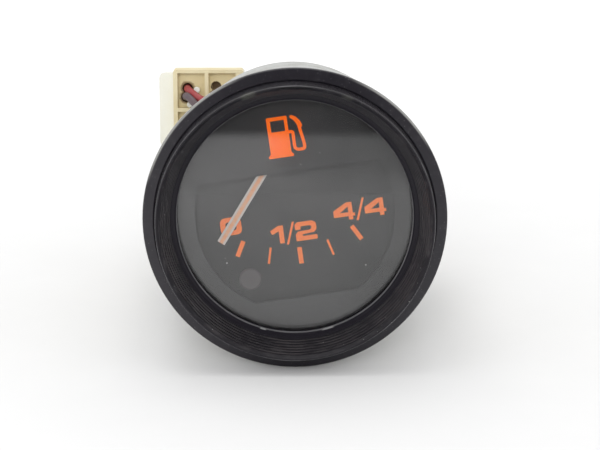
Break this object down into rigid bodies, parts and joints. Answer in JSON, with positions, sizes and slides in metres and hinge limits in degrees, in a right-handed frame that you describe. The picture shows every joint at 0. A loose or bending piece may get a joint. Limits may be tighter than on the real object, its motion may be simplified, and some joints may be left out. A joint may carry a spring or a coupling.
{
  "type": "fuel gauge",
  "caption": "Panel-mounted electric fuel gauge with a ribbed black bezel, a recessed orange-marked dial, a strap clamp behind the panel and a short wired connector.",
  "frame": {"origin": "on the gauge's axis, in the plane where the bezel's back seats on the panel", "axes": "+Y into the panel along the gauge's axis, so the dial faces -Y; +Z is the dial's up; +X is to the right as seen from the front"},
  "size_m": [0.0601, 0.0884, 0.06],
  "materials": {
    "bezel_black": "gloss black enamel, worn",
    "funnel_black": "satin, finely ribbed",
    "gloss_black": "polished",
    "clear_glass": "clear, hazed behind",
    "seal_rubber": "matt",
    "dial_black": "matt black dial paint",
    "lamp_lens": "dull translucent red",
    "screw_steel": "bright zinc",
    "turned_brass": "turned",
    "white_plastic": "moulded, slightly aged",
    "needle_orange": "pale orange, whitish edges",
    "hub_black": "satin",
    "spindle_steel": "polished",
    "soft_iron": "bare, ground",
    "frame_steel": "zinc plated",
    "bobbin_brown": "moulded phenolic",
    "enamel_wire": "wound enamelled copper",
    "case_zinc": "zinc plated and chromated, dull",
    "tube_black": "matt",
    "phenolic": "moulded phenolic",
    "blade_brass": "stamped, slightly tarnished",
    "holder_black": "moulded",
    "bulb_glass": "clear",
    "stud_steel": "yellow chromate",
    "clamp_steel": "yellow chromate",
    "washer_steel": "spring steel",
    "red_pvc": "soft PVC, dusty",
    "dark_pvc": "soft PVC, dusty",
    "cream_nylon": "aged cream nylon",
    "white_nylon": "moulded nylon",
    "bracket_steel": "zinc plated"
  },
  "bodies": {
    "gauge": {"bezel_ring": "bezel_black", "ribbed_funnel": "funnel_black", "spacer_ring": "gloss_black", "glass_lens": "clear_glass", "glass_seal": "seal_rubber", "dial_mask": "dial_black", "dial_spacer": "dial_black", "scale_plate": "dial_black", "warning_lens": "lamp_lens", "scale_screws": "screw_steel", "scale_spacers": "turned_brass", "light_box": "white_plastic", "movement_frame": "frame_steel", "front_bearing": "turned_brass", "rear_bearing": "turned_brass", "stop_pins": "screw_steel", "coil_bobbins": "bobbin_brown", "coil_windings": "enamel_wire", "pole_cores": "soft_iron", "movement_pillars": "turned_brass", "rear_screws": "screw_steel", "warning_tube": "tube_black", "case_can": "case_zinc", "terminal_insulators": "phenolic", "terminal_blades": "blade_brass", "terminal_rivets": "blade_brass", "illumination_holder": "holder_black", "illumination_bulb": "bulb_glass", "warning_holder": "holder_black", "warning_bulb": "bulb_glass", "mounting_stud": "stud_steel", "lead_receptacles": "blade_brass", "red_lead": "red_pvc", "black_lead": "dark_pvc", "plug_housing": "cream_nylon", "crimp_terminals": "blade_brass", "socket_shell": "white_nylon", "connector_bracket": "bracket_steel", "bracket_rivets": "screw_steel"},
    "needle": {"pointer": "needle_orange", "pointer_hub": "hub_black", "spindle": "spindle_steel", "armature": "soft_iron", "balance_weight": "turned_brass"},
    "clamp": {"clamp_bracket": "clamp_steel", "spring_washer": "washer_steel"},
    "nut": {"knurled_nut": "turned_brass"}
  },
  "joints": [
    {"name": "needle_swing", "type": "hinge", "parent": "gauge", "child": "needle", "pos_m": [0, 0.0185, 0.0152], "axis": [0, -1, 0], "range_deg": [0, 75.8]},
    {"name": "clamp_slide", "type": "slide", "parent": "gauge", "child": "clamp", "axis": [0, 1, 0], "range_m": [0, 0.005]},
    {"name": "nut_turn", "type": "hinge", "parent": "clamp", "child": "nut", "pos_m": [-0.00035, 0.058, -0.00242], "axis": [0, 1, 0], "range_deg": [0, 2252]}
  ],
  "couplings": [
    {"joint": "nut_turn", "follows": "clamp_slide", "rad_per_m": 7854}
  ]
}
